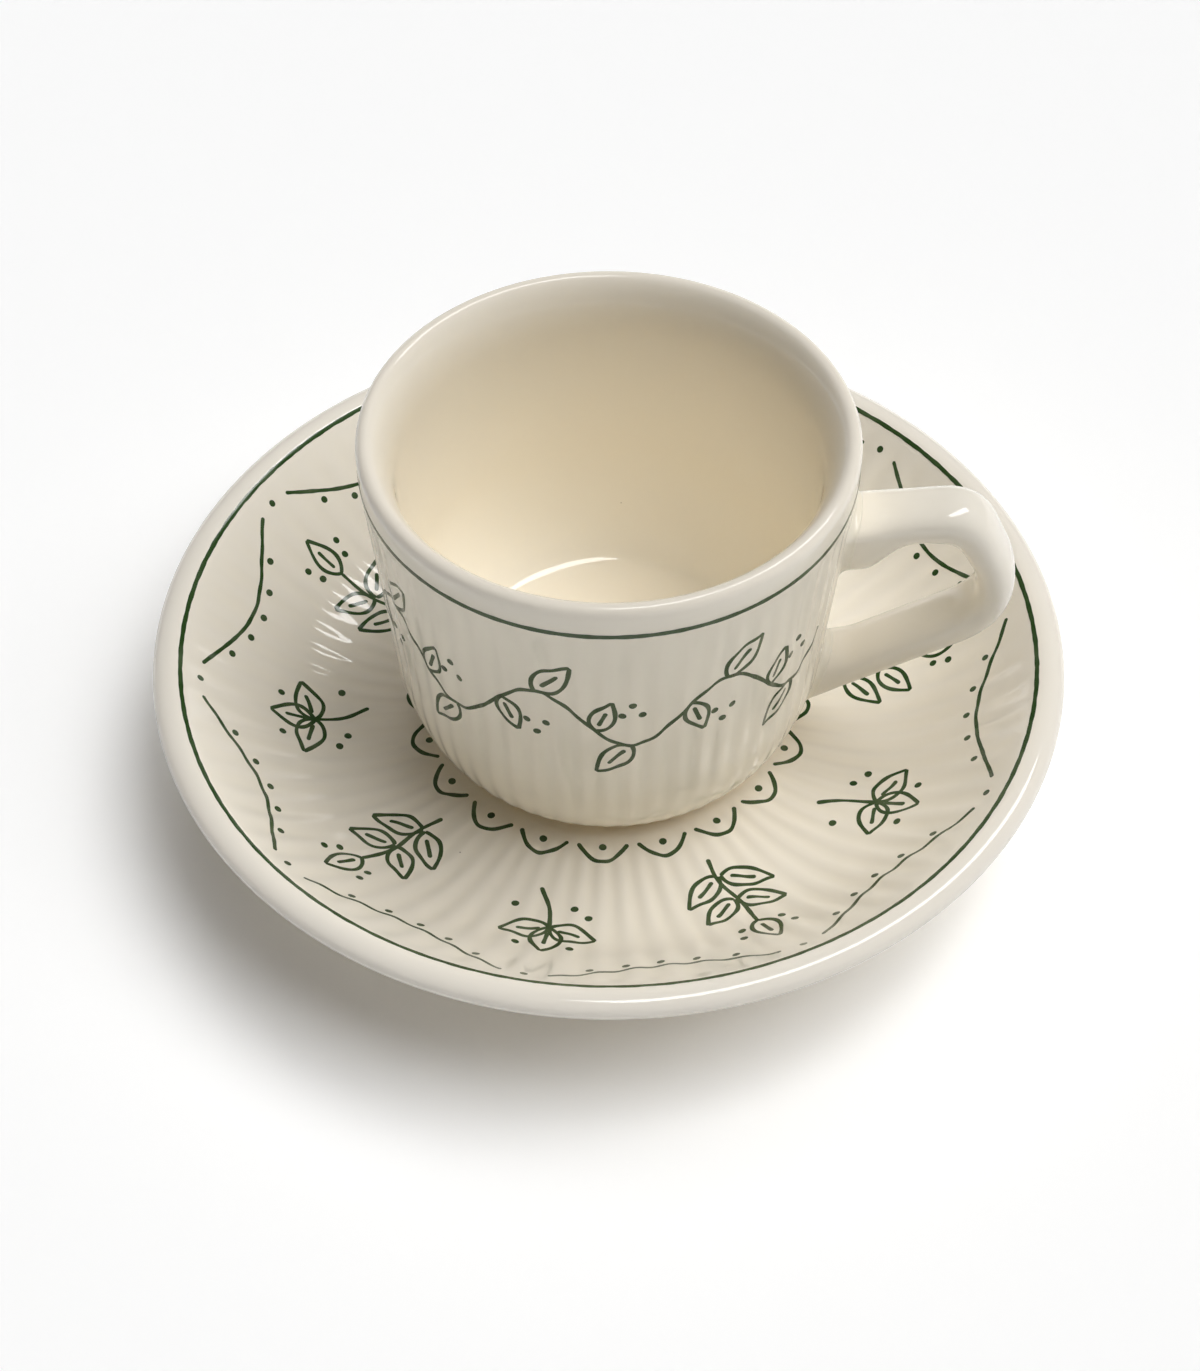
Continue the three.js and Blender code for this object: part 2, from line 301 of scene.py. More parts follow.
def bare_clay_material():
    """The wiped foot rings: matt buff biscuit with a fine grain."""
    material = bpy.data.materials.new("bare_clay")
    material.use_nodes = True
    tree = material.node_tree
    shader = tree.nodes["Principled BSDF"]
    place = tree.nodes.new("ShaderNodeTexCoord").outputs["Object"]
    grain = add_node(tree, "ShaderNodeTexNoise", {"Vector": place, "Scale": 1800, "Detail": 4})
    colour = add_node(
        tree,
        "ShaderNodeMix",
        {0: grain.outputs["Fac"], 6: (0.62, 0.52, 0.38, 1), 7: (0.76, 0.67, 0.53, 1)},
        data_type="RGBA",
    )
    relief = add_node(
        tree, "ShaderNodeBump", {"Height": grain.outputs["Fac"], "Strength": 0.6, "Distance": 0.05 * mm}
    )
    tree.links.new(colour.outputs[2], shader.inputs["Base Color"])
    tree.links.new(relief.outputs["Normal"], shader.inputs["Normal"])
    shader.inputs["Roughness"].default_value = 0.85
    return material


bare_clay = bare_clay_material()
saucer_rim_centre = np.array([saucer_radius - saucer_rim_half_width, saucer_height - saucer_rim_half_height])
saucer_rim = arc(saucer_rim_centre, saucer_rim_half_width, saucer_rim_half_height, -90, saucer_rim_end)
flank_slant = np.array([math.cos(flank_slope), math.sin(flank_slope)])
flank_start = np.array([floor_radius, saucer_floor])
flank = bow(
    flank_start,
    flank_start + (floor_run, 0),
    saucer_rim[-1] - flank_run * flank_slant,
    saucer_rim[-1],
)
flank_along = np.gradient(flank, axis=0)
flank_along /= np.linalg.norm(flank_along, axis=1)[:, None]
flank_under = flank + saucer_wall * np.stack([flank_along[:, 1], -flank_along[:, 0]], 1)
under_foot = flank_under[:, 0] > saucer_foot_radius + saucer_foot_taper
under_rim = flank_under[:, 0] < saucer_rim_centre[0] - saucer_foot_taper
saucer_foot_inside = saucer_foot_radius - saucer_foot_width
saucer_section = np.vstack(
    [
        [(0, saucer_foot_height), (saucer_foot_inside, saucer_foot_height), (saucer_foot_inside, 0)],
        [(saucer_foot_radius - saucer_foot_taper, 0), (saucer_foot_radius, saucer_foot_height)],
        flank_under[under_foot & under_rim],
        saucer_rim,
        flank[-2::-1],
        [(well_radius + well_edge, saucer_floor), (well_radius, seat), (0, seat)],
    ]
)
saucer_outline = glazed(saucer_section, softness=0.35 * mm)
on_face = np.arange(len(saucer_outline)) > np.argmax(saucer_outline[:, 1])
fade = [0, flutes_fade_in, flutes_full_from, flutes_full_to, flutes_fade_out]
saucer_share = on_face * np.interp(saucer_outline[:, 0], fade, [0, 0, 1, 1, 0])
saucer_skin = TurnedSkin(saucer_outline, saucer_share, saucer_flutes, saucer_flute_depth, 0 * saucer_share)
saucer_glaze = glaze_material("saucer_glaze", thin=(0.955, 0.9, 0.805, 1), pooled_and_lit=(0.955, 0.895, 0.775, 1))
saucer = turned_piece(
    "saucer_glazed", saucer_skin, 240, 10, [saucer_glaze, bare_clay], bare_below=0.4 * mm
)
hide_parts("saucer")
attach(saucer, "saucer")

# Saucer's printed lines
# Dark green underglaze printing on the fluted face: one plain line inside the rim, and inside it sprigs,
# trefoils and swags with dots. The ink follows the flutes and lies a few hundredths of a millimetre proud.
ink_lift = 0.03 * mm
ink_sunk = 0.05 * mm
ink_width = 0.72 * mm
dot_radius = 0.66 * mm
saucer_line_radius = 71.3 * mm
sectors = 5


def printed_green_material():
    """Dark green underglaze ink, a little thin and grey in places, under clear glaze."""
    material = bpy.data.materials.new("printed_green")
    material.use_nodes = True
    tree = material.node_tree
    shader = tree.nodes["Principled BSDF"]
    place = tree.nodes.new("ShaderNodeTexCoord").outputs["Object"]
    patches = add_node(tree, "ShaderNodeTexNoise", {"Vector": place, "Scale": 160, "Detail": 3})
    worn = add_node(
        tree, "ShaderNodeMapRange", {"Value": patches.outputs["Fac"], "From Min": 0.42, "From Max": 0.8}
    )
    colour = add_node(
        tree,
        "ShaderNodeMix",
        {0: worn.outputs[0], 6: (0.028, 0.067, 0.016, 1), 7: (0.085, 0.128, 0.062, 1)},
        data_type="RGBA",
    )
    sheen = add_node(
        tree, "ShaderNodeMapRange", {"Value": patches.outputs["Fac"], "To Min": 0.08, "To Max": 0.2}
    )
    tree.links.new(colour.outputs[2], shader.inputs["Base Color"])
    tree.links.new(sheen.outputs[0], shader.inputs["Roughness"])
    shader.inputs["IOR"].default_value = 1.52
    return material


printed_green = printed_green_material()


class Print:
    """Ink laid on a skin from a flat drawing in mm. Lay gives a point's row and angle on the skin."""

    def __init__(self, skin, lay):
        self.skin = skin
        self.lay = lay
        self.corners = []
        self.faces = []

    def add(self, points, faces):
        first = sum(len(group) for group in self.corners)
        self.corners.append(points.reshape(-1, 3))
        self.faces += [[first + corner for corner in face] for face in faces]

    def put(self, drawing, lift):
        row, angle = self.lay(drawing[..., 0] * mm, drawing[..., 1] * mm)
        return self.skin.place(row, angle, lift)

    def line(self, path, width=ink_width / mm, closed=False):
        """A pen line along a path: flat on top, its sides sunk into the glaze, with round ends."""
        run = np.append(0, np.cumsum(np.linalg.norm(np.diff(path, axis=0), axis=1)))
        cap = width / 2 * (1 - np.cos(np.linspace(0, math.pi / 2, 5)[:-1]))
        inner = np.linspace(width / 2, run[-1] - width / 2, max(3, round(run[-1] / 0.42)))
        even = np.linspace(0, run[-1], round(run[-1] / 0.42) + 1)[:-1]
        stops = even if closed else np.concatenate([cap, inner, run[-1] - cap[::-1]])
        middle = np.stack([np.interp(stops, run, path[:, k]) for k in (0, 1)], 1)
        ahead = np.stack([np.interp(stops + 0.05, run, path[:, k]) for k in (0, 1)], 1)
        behind = np.stack([np.interp(stops - 0.05, run, path[:, k]) for k in (0, 1)], 1)
        along = (ahead - behind) / np.linalg.norm(ahead - behind, axis=1)[:, None]
        left = np.stack([-along[:, 1], along[:, 0]], 1)
        half = width / 2 * (1 + 0.07 * np.sin(stops * 0.9 + path[0, 0]) + 0.05 * np.sin(stops * 2.3))
        if not closed:
            to_end = np.minimum(stops, run[-1] - stops) / (width / 2)
            half *= np.sqrt(np.clip(1 - (1 - np.clip(to_end, 0.04, 1)) ** 2, 0, 1))
        section = [(1, ink_lift), (0.5, ink_lift), (0, ink_lift), (-0.5, ink_lift), (-1, ink_lift)]
        section += [(-1, -ink_sunk), (0, -ink_sunk), (1, -ink_sunk)]
        rings = np.stack([self.put(middle + side * half[:, None] * left, lift) for side, lift in section], 1)
        sides, count = len(section), len(stops)
        faces = []
        for ring in range(count if closed else count - 1):
            low, high = ring * sides, (ring + 1) % count * sides
            for k in range(sides):
                after = (k + 1) % sides
                faces.append([low + k, low + after, high + after, high + k])
        if not closed:
            faces.append(list(range(sides))[::-1])
            faces.append(list(range((count - 1) * sides, count * sides)))
        self.add(rings, faces)

    def dot(self, centre, radius=dot_radius / mm):
        """A round spot of ink."""
        sides = 14
        turn = np.arange(sides) / sides * math.tau
        round_it = np.stack([np.cos(turn), np.sin(turn)], 1)
        centre = np.array([centre])
        rings = [
            self.put(centre, ink_lift),
            self.put(centre + 0.5 * radius * round_it, ink_lift),
            self.put(centre + radius * round_it, ink_lift),
            self.put(centre + radius * round_it, -ink_sunk),
            self.put(centre, -ink_sunk),
        ]
        faces = []
        for k in range(sides):
            after = (k + 1) % sides
            faces.append([0, 1 + k, 1 + after])
            for ring in (1, 1 + sides):
                faces.append([ring + k, ring + sides + k, ring + sides + after, ring + after])
            faces.append([1 + 2 * sides + k, 1 + 3 * sides, 1 + 2 * sides + after])
        self.add(np.vstack(rings), faces)

    def motif(self, lines, dots, origin, turn=0.0, size=1.0):
        """Draws a motif's lines and dots at a place, turned in degrees and scaled."""
        c, s = math.cos(math.radians(turn)), math.sin(math.radians(turn))
        frame_of = size * np.array([[c, s], [-s, c]])
        for path in lines:
            self.line(path @ frame_of + origin)
        for dot in dots:
            self.dot(np.array(dot) @ frame_of + origin)

    def piece(self, name, body):
        made = mesh_piece(name, np.vstack(self.corners), self.faces, [printed_green])
        made.data.set_sharp_from_angle(angle=math.radians(50))
        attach(made, body)
        return made


def smooth_path(points, steps=12):
    """A smooth line through a few points."""
    p = np.vstack([2 * np.array(points[0]) - points[1], points, 2 * np.array(points[-1]) - points[-2]])
    t = np.linspace(0, 1, steps, endpoint=False)[:, None]
    stretches = []
    for a, b, c, d in zip(p[:-3], p[1:-2], p[2:-1], p[3:]):
        stretches.append(
            b + t * (c - a) / 2 + t**2 * (a - 2.5 * b + 2 * c - d / 2) + t**3 * (1.5 * (b - c) + (d - a) / 2)
        )
    return np.vstack(stretches + [p[-2:-1]])


def leaf(length, width):
    """A leaf in outline, growing along +y from its stalk, with a short midrib."""
    t = np.linspace(0, 1, 20)
    bulge = width / 2 * np.sin(math.pi * t**0.75)
    sides = [np.stack([side * bulge, length * t], 1) for side in (1, -1)]
    return [*sides, np.array([(0, 0.18 * length), (0, 0.66 * length)])]


def turned_lines(lines, turn, origin):
    """Lines of a drawing turned clockwise in degrees about the drawing's origin, then moved to a place."""
    c, s = math.cos(math.radians(turn)), math.sin(math.radians(turn))
    return [path @ np.array([[c, -s], [s, c]]) + origin for path in lines]


def sprig():
    """A stem with two pairs of leaves, a leaf at its tip and berries beside it, 26 mm tall."""
    lines = [smooth_path([(0, -13), (0.6, -8), (-0.4, -2), (0, 4.6)])]
    for height, length in ((-9, 8.8), (-3, 8.0)):
        for side in (1, -1):
            lines += turned_lines(leaf(length, 4.2), 58 * side, (0.3 * side, height))
    lines += turned_lines(leaf(8.6, 4.4), 0, (0, 4.6))
    dots = [(-3.6, 6.4), (3.6, 6.4), (-4.6, 9.2), (4.6, 9.2)]
    return lines, dots


def trefoil():
    """Three broad leaves on a short bent stalk, with a dot between and beside them."""
    lines = [smooth_path([(3.2, -9.5), (1.0, -5.0), (0, 0)])]
    for turn in (-74, 0, 74):
        lines += turned_lines(leaf(8.2, 5.0), turn, (0, 0))
    dots = [(-4.4, 6.0), (4.4, 6.0), (-5.6, -4.0), (-3.0, -5.6), (6.6, -5.0)]
    return lines, dots


face_rows = np.arange(np.argmax(saucer_outline[:, 1]), len(saucer_outline))[::-1]
face_run = saucer_skin.run[-1] - saucer_skin.run[face_rows]


def on_saucer(x, y):
    """Lays a flat round drawing on the saucer's face, from the axis out along the face."""
    return np.interp(np.hypot(x, y), face_run, face_rows), np.arctan2(y, x)


def round_path(radius, start, end, sway=None):
    """A path round the axis between two angles in degrees, moved in and out by sway of its share."""
    share = np.linspace(0, 1, 90)
    angle = np.radians(start + (end - start) * share)
    reach = radius + (0 if sway is None else sway(share))
    return np.stack([reach * np.cos(angle), reach * np.sin(angle)], 1)


def at_angle(radius, degrees):
    return radius * np.array([math.cos(math.radians(degrees)), math.sin(math.radians(degrees))])


line_run = np.interp(saucer_line_radius, saucer_outline[face_rows, 0], face_run) / mm
saucer_line = Print(saucer_skin, on_saucer)
saucer_line.line(round_path(line_run, 0, 360), width=0.8, closed=True)
saucer_line.piece("saucer_line", "saucer")

saucer_print = Print(saucer_skin, on_saucer)
first_sprig = -58
swag_reach = line_run - 4.5
arches = 20
for sector in range(sectors):
    middle = first_sprig + 360 / sectors * sector
    saucer_print.motif(*sprig(), at_angle(51, middle), middle - 90)
    saucer_print.motif(*trefoil(), at_angle(51, middle + 180 / sectors), middle + 180 / sectors - 90)
    for half in (0, 1):
        start = middle + 180 / sectors * half
        swag = round_path(
            swag_reach, start + 3, start + 180 / sectors - 3, lambda share: -7.5 * np.sin(math.pi * share)
        )
        saucer_print.line(swag)
        for step in range(1, 6):
            point = swag[len(swag) * step // 6]
            saucer_print.dot(point * (1 - 2.0 / np.linalg.norm(point)))
        saucer_print.dot(at_angle(swag_reach + 0.4, start))
for arch in range(arches):
    start = first_sprig + 360 / arches * arch
    end = start + 360 / arches
    path = round_path(31.5, start + 1.5, end - 1.5, lambda share: 3.4 * np.sin(math.pi * share))
    saucer_print.line(path)
    saucer_print.dot(at_angle(32, start + 180 / arches))
saucer_print.piece("saucer_print", "saucer")

# Cup
# Cast in one piece of the same clay: a fluted wall that rounds in to a low foot ring, a plain rounded rim and
# a smooth bowl, dipped in the same ivory glaze. It only stands in the saucer's well.
cup_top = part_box("cup_body")[1].z
cup_rim_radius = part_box("cup_body")[1].x
lip_radius = 1.4 * mm
lip_turn = 137
throat_radius = 33.3 * mm
throat_drop = 9.0 * mm
wall_taper = 2.6 * mm
waist_height = 25.4 * mm
cup_foot_radius = 24.7 * mm
cup_foot_height = 0.8 * mm
cup_foot_width = 3.0 * mm
foot_hollow = 5.2 * mm
cup_wall = 3.8 * mm
bowl_round_height = 30.4 * mm
bowl_round_drop = 20.5 * mm
bowl_round_radius = 18.0 * mm
bowl_round_turn = 65
bowl_floor_height = 10.4 * mm
dish_radius = 14.0 * mm
dish_slope = math.radians(20)
plain_band = 6.0 * mm
flute_run_out = 1.6 * mm
cup_flutes = 60
cup_flute_depth = 0.19 * mm
wall_radius = cup_rim_radius
waist_radius = wall_radius - wall_taper
wall_top = cup_top - plain_band
waist = seat + waist_height
round_drop = waist_height - cup_foot_height
cup_foot_inside = cup_foot_radius - cup_foot_width
lip_centre = np.array([wall_radius - lip_radius, cup_top - lip_radius])
bowl_centre = np.array([bowl_round_radius, seat + bowl_round_height])
bowl_half_width = waist_radius - cup_wall - bowl_round_radius
bowl = arc(bowl_centre, bowl_half_width, bowl_round_drop, 0, -bowl_round_turn, 60)
lip = arc(lip_centre, lip_radius, lip_radius, 0, lip_turn)
lip_fall = np.array([-math.sin(math.radians(lip_turn)), math.cos(math.radians(lip_turn))])
throat = np.array([throat_radius, cup_top - throat_drop])
throat_rise = (throat - bowl[0]) / np.linalg.norm(throat - bowl[0])
lip_inside = bow(lip[-1], lip[-1] + 2.6 * mm * lip_fall, throat + 3.5 * mm * throat_rise, throat)
bowl_floor = seat + bowl_floor_height
dish_run = (bowl[-1, 1] - bowl_floor) / math.tan(dish_slope)
dish = bow(
    bowl[-1],
    bowl[-1] - 0.8 * np.array([dish_run, bowl[-1, 1] - bowl_floor]),
    np.array([bowl[-1, 0] - 1.6 * dish_run, bowl_floor]),
    np.array([dish_radius, bowl_floor]),
)
cup_section = np.vstack(
    [
        [(0, seat + foot_hollow), (cup_foot_inside, seat + foot_hollow), (cup_foot_inside, seat)],
        [(cup_foot_radius, seat)],
        arc((cup_foot_radius, waist), waist_radius - cup_foot_radius, round_drop, -90, 0, 60),
        [(wall_radius, wall_top)],
        lip,
        lip_inside,
        bowl,
        dish,
        [(0, bowl_floor)],
    ]
)
cup_outline = glazed(cup_section, softness=0.45 * mm)
outside = np.arange(len(cup_outline)) < np.argmax(cup_outline[:, 1])
outside &= cup_outline[:, 0] > cup_foot_radius - 1 * mm
fade = [seat + cup_foot_height, seat + 3.5 * mm, seat + 20 * mm, wall_top - flute_run_out, wall_top]
cup_share = outside * np.interp(cup_outline[:, 1], fade, [0, 0.45, 1, 1, 0])
in_bowl = np.arange(len(cup_outline)) > np.argmax(cup_outline[:, 1])
# Painted light: below its top 6 mm the bowl's inside is pushed towards the cup's pooled colour, which is
# paler, to stand in for light reaching the bowl.
bowl_painted_light = in_bowl * np.interp(cup_outline[:, 1], [cup_top - 6 * mm, cup_top], [0.35, 0])
cup_skin = TurnedSkin(cup_outline, cup_share, cup_flutes, cup_flute_depth, bowl_painted_light)
# The cup's pooled colour is paler than its thin colour: painted light in the bowl, and the same paler colour
# lies in the flute valleys.
cup_glaze = glaze_material("cup_glaze", thin=(0.955, 0.888, 0.77, 1), pooled_and_lit=(0.976, 0.922, 0.795, 1))
cup = turned_piece("cup_glazed", cup_skin, 240, 12, [cup_glaze, bare_clay], bare_below=seat + 0.4 * mm)
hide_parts("cup_body")
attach(cup, "cup")

# Cup's printed lines
# The same green ink on the fluted wall: one plain line under the rim, and a running vine with leaves and
# berries that stops on both sides of the handle.
cup_line_height = 64.9 * mm
vine_height = 44.0
vine_swing = 6.0
vine_waves = 7
vine_start = 21
vine_end = 339
wall_rows = np.arange(len(cup_outline))[outside]


def on_cup(x, y):
    """Wraps a flat drawing round the cup's wall: x along the wall from the handle, y the height."""
    return np.interp(y, cup_outline[wall_rows, 1], wall_rows), x / wall_radius


cup_line = Print(cup_skin, on_cup)
round_wall = math.tau * wall_radius / mm
line_path = np.array([(0, cup_line_height / mm), (round_wall, cup_line_height / mm)])
cup_line.line(line_path, width=0.8, closed=True)
cup_line.piece("cup_line", "cup")

cup_print = Print(cup_skin, on_cup)
per_degree = round_wall / 360
share = np.linspace(0, 1, 700)
swing = vine_swing * np.sin(math.tau * vine_waves * share)
vine = np.stack([per_degree * (vine_start + (vine_end - vine_start) * share), vine_height + swing], 1)
cup_print.line(vine)
for wave in range(2 * vine_waves):
    side = 1 if wave % 2 == 0 else -1
    crest = vine[round((wave + 0.5) / (2 * vine_waves) * 699)]
    slope_place = vine[round((wave + 0.12) / (2 * vine_waves) * 699)]
    cup_print.motif(leaf(9.0, 4.8), [], crest, turn=-side * 40 if side > 0 else 180 - 40)
    cup_print.motif(leaf(7.6, 4.0), [], slope_place, turn=200 if side > 0 else -20)
    hollow = crest - (0, side * 7.6)
    for dot in ((-1.6, 0), (1.6, 0), (0, -side * 2.6)):
        cup_print.dot(hollow + dot)
cup_print.piece("cup_print", "cup")

# Handle
# A strap of the same clay with a rounded section, cast by itself and stuck to the wall while both are damp,
# then glazed with the cup. Near the wall it flares into the loop.
handle_width = 9.8 * mm
lower_handle_width = 10.9 * mm
handle_thickness = 6.2 * mm
handle_squareness = 2.4
upper_root_height = cup_top - 15.2 * mm
corner_place = np.array([wall_radius + 17.5 * mm, upper_root_height + 3.5 * mm])
corner_radius = 5.5 * mm
elbow_place = np.array([wall_radius + 26.1 * mm, seat + 35.6 * mm])
elbow_radius = 12.5 * mm
lower_root_height = seat + 13.7 * mm
root_flare = 6.0 * mm
lower_root_flare = 2.5 * mm
corner_fill = 1.0 * mm
corner_fill_reach = 5.0 * mm
root_tuck = 0.8 * mm
root_spread = 0.6 * mm
root_flare_length = 9.5 * mm
root_sink = handle_width
root_depth = 0.8 * mm


def wall_radius_at(height):
    return np.interp(height, cup_outline[wall_rows, 1], cup_outline[wall_rows, 0])


def rounded_corner(before, at, after, radius):
    """The two arms' ends and the curve between them at one corner of the strap's centre line."""
    back = (before - at) / np.linalg.norm(before - at)
    onward = (after - at) / np.linalg.norm(after - at)
    trim = radius / math.tan(math.acos(back @ onward) / 2)
    t = np.linspace(0, 1, 40)[:, None]
    return (1 - t) ** 2 * (at + trim * back) + 2 * t * (1 - t) * at + t**2 * (at + trim * onward)


def lengthened(root, far):
    return root + root_sink * (root - far) / np.linalg.norm(root - far)


upper_root = np.array([wall_radius, upper_root_height])
lower_root = np.array([wall_radius_at(lower_root_height), lower_root_height])
strap_start = lengthened(upper_root, corner_place)
strap_end = lengthened(lower_root, elbow_place)
strap_line = np.vstack(
    [
        [strap_start],
        rounded_corner(strap_start, corner_place, elbow_place, corner_radius),
        rounded_corner(corner_place, elbow_place, strap_end, elbow_radius),
        [strap_end],
    ]
)
strap_run = np.append(0, np.cumsum(np.linalg.norm(np.diff(strap_line, axis=0), axis=1)))
strap_even = np.linspace(0, strap_run[-1], 900)
strap_fine = np.stack([np.interp(strap_even, strap_run, strap_line[:, k]) for k in (0, 1)], 1)
strap_along = np.gradient(strap_fine, axis=0)
strap_along /= np.linalg.norm(strap_along, axis=1)[:, None]
corner_run = strap_even[np.argmin(np.linalg.norm(strap_fine - corner_place, axis=1))]


def strap_point(distance, side):
    """A point of the strap's skin, from a distance along its centre line and an angle about it."""
    x, z = (np.interp(distance, strap_even, strap_fine[:, k]) for k in (0, 1))
    along_x, along_z = (np.interp(distance, strap_even, strap_along[:, k]) for k in (0, 1))
    to_wall = np.minimum(distance, strap_run[-1] - distance) - root_sink
    rise = np.clip(1 - to_wall / root_flare_length, 0, 1)
    near = rise * rise * (3 - 2 * rise)
    width = handle_width + (lower_handle_width - handle_width) * distance / strap_run[-1]
    bulge = 2 / handle_squareness
    cosine, sine = np.cos(side), np.sin(side)
    wide = (width / 2 + root_spread * near) * np.sign(cosine) * np.abs(cosine) ** bulge
    flare = np.where(distance < strap_run[-1] / 2, root_flare, lower_root_flare)
    fill = corner_fill * np.exp(-(((distance - corner_run) / corner_fill_reach) ** 2))
    inner = handle_thickness / 2 + flare * near + fill
    outer = handle_thickness / 2 - root_tuck * near
    thick = np.where(sine < 0, inner, outer) * np.sign(sine) * np.abs(sine) ** bulge
    return np.stack([x - along_z * thick, wide + 0 * x, z + along_x * thick], -1)


def strap_meets_wall(side, from_start, depth):
    """How far along the strap each of its lines of points comes within a depth under the wall's skin."""
    distances = np.linspace(0, strap_run[-1] / 2, 500)
    if not from_start:
        distances = strap_run[-1] - distances
    points = strap_point(distances[:, None], side[None, :])
    clear = np.hypot(points[..., 0], points[..., 1]) - wall_radius_at(points[..., 2]) + depth
    first = np.array([np.nonzero(column < 0)[0].max() for column in clear.T])
    every = np.arange(len(side))
    share = clear[first, every] / (clear[first, every] - clear[first + 1, every])
    return distances[first] + share * (distances[first + 1] - distances[first])


strap_sides = np.arange(44) / 44 * math.tau
strap_steps = 150
upper_end = strap_meets_wall(strap_sides, True, root_depth)
lower_end = strap_meets_wall(strap_sides, False, root_depth)
handle_rings = [
    strap_point(upper_end + (lower_end - upper_end) * step / strap_steps, strap_sides)
    for step in range(strap_steps + 1)
]
side_count = len(strap_sides)
handle_faces = [list(range(side_count))]
for step in range(strap_steps):
    rings = band(step * side_count, side_count, (step + 1) * side_count, side_count)
    handle_faces += [face[::-1] for face in rings]
handle_faces.append(list(range(strap_steps * side_count, (strap_steps + 1) * side_count))[::-1])
handle_glaze = glaze_material("handle_glaze", thin=(0.965, 0.91, 0.815, 1), pooled_and_lit=(0.96, 0.9, 0.77, 1))
handle = mesh_piece("handle_glazed", np.vstack(handle_rings), handle_faces, [handle_glaze])
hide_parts("handle")
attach(handle, "cup")

# Slip seams
# The soft clay paste that sticks the handle's two roots to the wall. It is smoothed into a small hollow
# fillet round each root, and the glaze pools there.
fillet_on_strap = 1.6 * mm
fillet_on_wall = 1.5 * mm
fillet_steps = 10
slip_sunk = 0.35 * mm


def slip_seam(name, node, from_start):
    """A closed ring of slip round one root: a hollow fillet outside, sunk into strap and wall inside."""
    meet = strap_meets_wall(strap_sides, from_start, 0.0)
    onward = 1 if from_start else -1
    root = strap_point(meet, strap_sides)
    strap_edge = strap_point(meet + onward * fillet_on_strap, strap_sides)
    angle = np.arctan2(root[:, 1], root[:, 0])
    flat = np.stack([angle * wall_radius, root[:, 2]], 1)
    away = flat - (flat.max(0) + flat.min(0)) / 2
    away /= np.linalg.norm(away, axis=1)[:, None]
    spread = flat + fillet_on_wall * away
    rows, turns = on_cup(spread[:, 0], spread[:, 1])
    wall_edge = cup_skin.place(rows, turns, -0.02 * mm)
    wall_under = cup_skin.place(rows, turns, -0.02 * mm - slip_sunk)
    middle = strap_edge.mean(0)
    inward = middle - strap_edge
    strap_in = strap_edge + slip_sunk * inward / np.linalg.norm(inward, axis=1)[:, None]
    root_rows, root_turns = on_cup(flat[:, 0], flat[:, 1])
    root_under = cup_skin.place(root_rows, root_turns, -1.2 * mm)
    rings = []
    for v in np.linspace(0, 1, fillet_steps + 1):
        rings.append((1 - v) ** 2 * strap_edge + 2 * v * (1 - v) * root + v**2 * wall_edge)
    rings += [wall_under, root_under, strap_in]
    faces = []
    for ring in range(len(rings)):
        after = (ring + 1) % len(rings)
        made = band(ring * side_count, side_count, after * side_count, side_count)
        faces += made if from_start else [face[::-1] for face in made]
    seam = mesh_piece(name, np.vstack(rings), faces, [slip_glaze])
    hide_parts(node)
    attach(seam, "cup")


slip_glaze = glaze_material("slip_glaze", thin=(0.95, 0.905, 0.8, 1), pooled_and_lit=(0.93, 0.86, 0.7, 1))
slip_seam("upper_slip_glazed", "upper_handle_slip", True)
slip_seam("lower_slip_glazed", "lower_handle_slip", False)

# Floor and light
# A white table that runs on to a white horizon. Broad soft light comes from the right, above and behind
# and from the window's side. The tall window behind on the right only makes the highlights in the glaze.
# Each broad light has its azimuth, elevation and angle in degrees and its strength.
floor_size = 40.0
broad_lights = {
    "right": (2, 60, 46, 1.56),
    "above": (0, 88, 30, 0.32),
    "behind": (98, 57, 24, 0.32),
    "by_window": (47, 63, 26, 0.55),
}
window_azimuth = 47
window_elevation = 69
window_distance = 1.2
window_width = 0.22
window_height = 0.96
window_power = 5.7
sky_strength = 0.03


def floor_material():
    """Matt white, lifted to plain white where it is seen in full light."""
    material = bpy.data.materials.new("white_floor")
    material.use_nodes = True
    tree = material.node_tree
    shader = tree.nodes["Principled BSDF"]
    path = tree.nodes.new("ShaderNodeLightPath").outputs
    mirrored = add_node(
        tree,
        "ShaderNodeMath",
        {0: path["Is Glossy Ray"], 1: path["Is Transmission Ray"]},
        operation="MAXIMUM",
    )
    seen = add_node(
        tree, "ShaderNodeMath", {0: path["Is Camera Ray"], 1: mirrored.outputs[0]}, operation="MAXIMUM"
    )
    colour = add_node(
        tree,
        "ShaderNodeMix",
        {0: seen.outputs[0], 6: (0.96, 0.96, 0.96, 1), 7: (1.17, 1.17, 1.17, 1)},
        data_type="RGBA",
    )
    tree.links.new(colour.outputs[2], shader.inputs["Base Color"])
    shader.inputs["Roughness"].default_value = 1.0
    shader.inputs["Specular IOR Level"].default_value = 0.0
    return material


floor_mesh = bpy.data.meshes.new("floor")
edge = floor_size / 2
floor_corners = [(-edge, -edge, 0), (edge, -edge, 0), (edge, edge, 0), (-edge, edge, 0)]
floor_mesh.from_pydata(floor_corners, [], [(0, 1, 2, 3)])
floor_mesh.materials.append(floor_material())
floor = bpy.data.objects.new("floor", floor_mesh)
bpy.context.scene.collection.objects.link(floor)

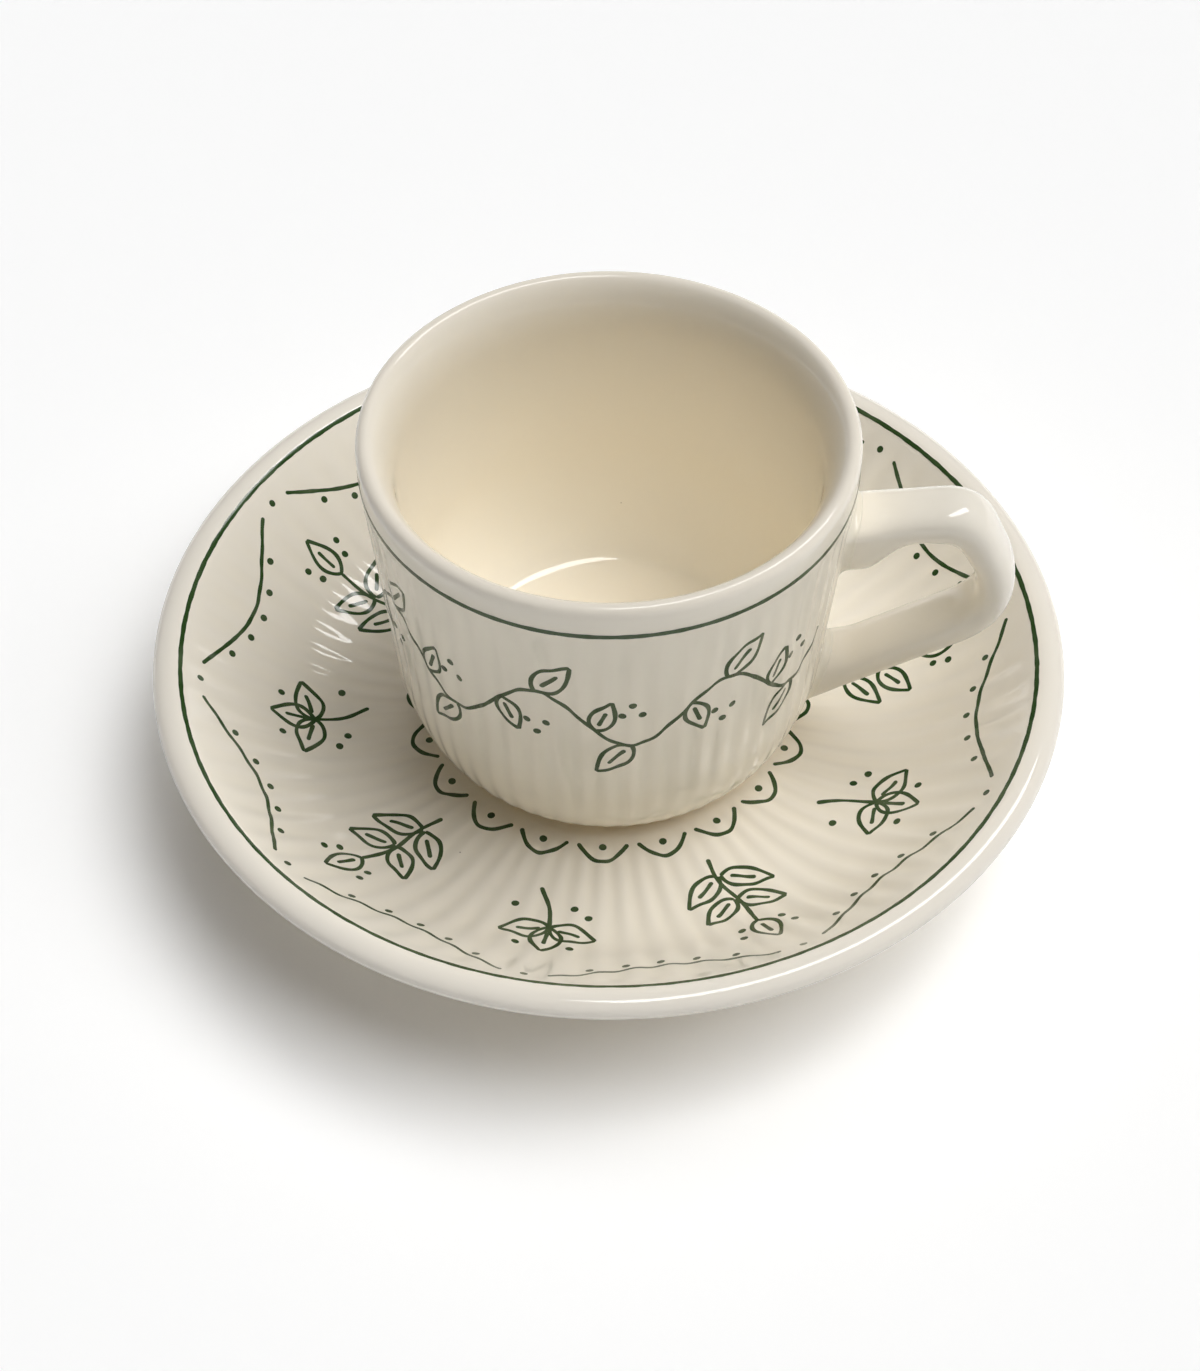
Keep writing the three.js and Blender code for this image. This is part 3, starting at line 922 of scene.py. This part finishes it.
world = bpy.data.worlds.new("white_horizon")
world.use_nodes = True
sky = world.node_tree
outward = sky.nodes.new("ShaderNodeTexCoord").outputs["Generated"]
direction = add_node(sky, "ShaderNodeSeparateXYZ", {0: outward})
brightness = add_node(
    sky,
    "ShaderNodeMapRange",
    {
        "Value": direction.outputs["Z"],
        "From Min": 0.06,
        "From Max": 0.12,
        "To Min": 1.0,
        "To Max": sky_strength,
    },
    interpolation_type="SMOOTHSTEP",
)
background = sky.nodes["Background"]
sky.links.new(brightness.outputs[0], background.inputs["Strength"])
background.inputs["Color"].default_value = (1, 1, 1, 1)
bpy.context.scene.world = world


def lamp(name, kind, azimuth, elevation, distance):
    """A lamp that shines on the cup from a direction in degrees."""
    made = bpy.data.objects.new(name, bpy.data.lights.new(name, kind))
    about, down = math.radians(azimuth + 90), math.radians(90 - elevation)
    tilt = Matrix.Rotation(about, 4, "Z") @ Matrix.Rotation(down, 4, "X")
    made.matrix_world = tilt @ Matrix.Translation((0, 0, distance))
    bpy.context.scene.collection.objects.link(made)
    return made


for name, (azimuth, elevation, angle, strength) in broad_lights.items():
    broad = lamp(name, "SUN", azimuth, elevation, 1.0)
    broad.data.energy = strength
    broad.data.angle = math.radians(angle)
    broad.visible_glossy = False
window = lamp("window", "AREA", window_azimuth, window_elevation, window_distance)
window.data.shape = "RECTANGLE"
window.data.size = window_width
window.data.size_y = window_height
window.data.energy = window_power
window.visible_diffuse = False
bpy.context.scene.cycles.diffuse_bounces = 12

# Camera
# It stands at the photograph's place: above the front of the cup, nearly square to the handle.
image_height = 1371
focal_pixels = 2202.2
sensor = 36
view_centre_height = 24.4 * mm
view_distance = 369.8 * mm
view_azimuth = math.radians(-83.5)
view_elevation = 0.82848
view_yaw = 0.00375
view_pitch = -0.02544
view_roll = -0.0024

camera_data = bpy.data.cameras.new("camera")
camera_data.sensor_width = sensor
camera_data.lens = focal_pixels * sensor / image_height
camera_data.clip_start = 10 * mm
camera = bpy.data.objects.new("camera", camera_data)
about = Matrix.Rotation(view_azimuth + math.pi / 2, 4, "Z")
turn = about @ Matrix.Rotation(math.pi / 2 - view_elevation, 4, "X")
back_off = Matrix.Translation((0, 0, view_centre_height)) @ turn @ Matrix.Translation((0, 0, view_distance))
aim = Matrix.Rotation(view_yaw, 4, "Y") @ Matrix.Rotation(view_pitch, 4, "X")
aim = aim @ Matrix.Rotation(-view_roll, 4, "Z")
camera.matrix_world = back_off @ aim
bpy.context.scene.collection.objects.link(camera)
bpy.context.scene.camera = camera
bpy.context.scene.view_settings.view_transform = "Standard"
